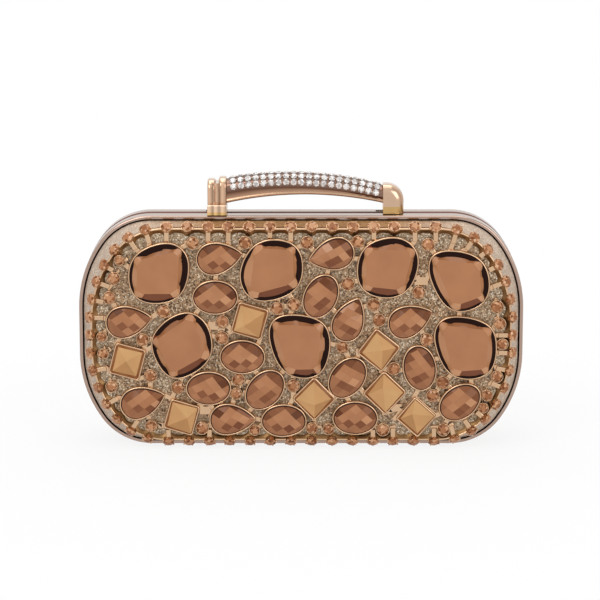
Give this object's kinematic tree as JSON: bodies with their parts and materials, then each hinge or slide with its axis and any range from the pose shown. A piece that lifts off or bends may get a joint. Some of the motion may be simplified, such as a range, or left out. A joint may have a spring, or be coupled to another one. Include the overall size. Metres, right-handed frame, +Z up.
{
  "type": "minaudiere",
  "caption": "Hard box evening clutch with hinged jewelled front half, metal half-frames and an arched top handle that slides sideways to unlock it.",
  "frame": {"origin": "middle of the bottom, on the seam plane between the two half-frames", "axes": "+X to the right along the bag, +Y to the back, +Z up to the handle"},
  "size_m": [0.2, 0.046, 0.1239],
  "materials": {
    "frame_metal": "polished pale rose plating",
    "handle_metal": "polished rose gold plating",
    "cage_metal": "polished rose gold plating",
    "glitter_cover": "khaki glitter fabric",
    "shell_board": "moulded shell",
    "lining_fabric": "satin lining",
    "large_stone": "faceted amber brown stone",
    "oval_stone": "faceted amber brown stone",
    "pear_stone": "faceted amber brown stone",
    "square_stone": "faceted yellow amber stone",
    "small_stone": "faceted amber stone",
    "clear_stone": "clear faceted stone",
    "spring_steel": "spring steel"
  },
  "bodies": {
    "back_half": {"back_cover": "glitter_cover", "back_frame": "frame_metal", "back_lining": "lining_fabric", "back_shell": "shell_board", "hinge_pin_left": "spring_steel", "hinge_pin_right": "spring_steel", "return_spring": "spring_steel"},
    "handle": {"handle_bar": "handle_metal", "handle_left_post": "handle_metal", "handle_right_elbow": "handle_metal", "latch_bar": "spring_steel", "latch_screws": "spring_steel", "handle_crystals": "clear_stone"},
    "front_half": {"front_frame": "frame_metal", "front_shell": "shell_board", "front_cover": "glitter_cover", "front_lining": "lining_fabric", "jewel_cage": "cage_metal", "border_rail": "cage_metal", "border_spokes": "cage_metal", "stone_bezels": "cage_metal", "chaton_rings": "cage_metal", "field_chatons": "small_stone", "border_cups": "cage_metal", "border_chatons": "small_stone", "catch_springs": "spring_steel", "catch_rivets": "spring_steel", "large_stone_1": "large_stone", "large_stone_2": "large_stone", "large_stone_3": "large_stone", "large_stone_4": "large_stone", "large_stone_5": "large_stone", "large_stone_6": "large_stone", "large_stone_7": "large_stone", "oval_stone_1": "oval_stone", "oval_stone_10": "oval_stone", "oval_stone_2": "oval_stone", "oval_stone_3": "oval_stone", "oval_stone_4": "oval_stone", "oval_stone_5": "oval_stone", "oval_stone_6": "oval_stone", "oval_stone_7": "oval_stone", "oval_stone_8": "oval_stone", "oval_stone_9": "oval_stone", "pear_stone_1": "pear_stone", "pear_stone_2": "pear_stone", "pear_stone_3": "pear_stone", "pear_stone_4": "pear_stone", "pear_stone_5": "pear_stone", "pear_stone_6": "pear_stone", "pear_stone_7": "pear_stone", "square_stone_1": "square_stone", "square_stone_2": "square_stone", "square_stone_3": "square_stone", "square_stone_4": "square_stone", "square_stone_5": "square_stone", "square_stone_6": "square_stone", "square_stone_7": "square_stone"}
  },
  "joints": [
    {"name": "lid_open", "type": "hinge", "parent": "back_half", "child": "front_half", "pos_m": [0, 0, 0.0016], "axis": [1, 0, 0], "range_deg": [0, 85], "deforming": ["catch_springs"]},
    {"name": "handle_slide", "type": "slide", "parent": "back_half", "child": "handle", "axis": [1, 0, 0], "range_m": [-0.003, 0], "stiffness_N_per_m": 200, "springref_m": 0.001, "deforming": ["return_spring"]}
  ]
}
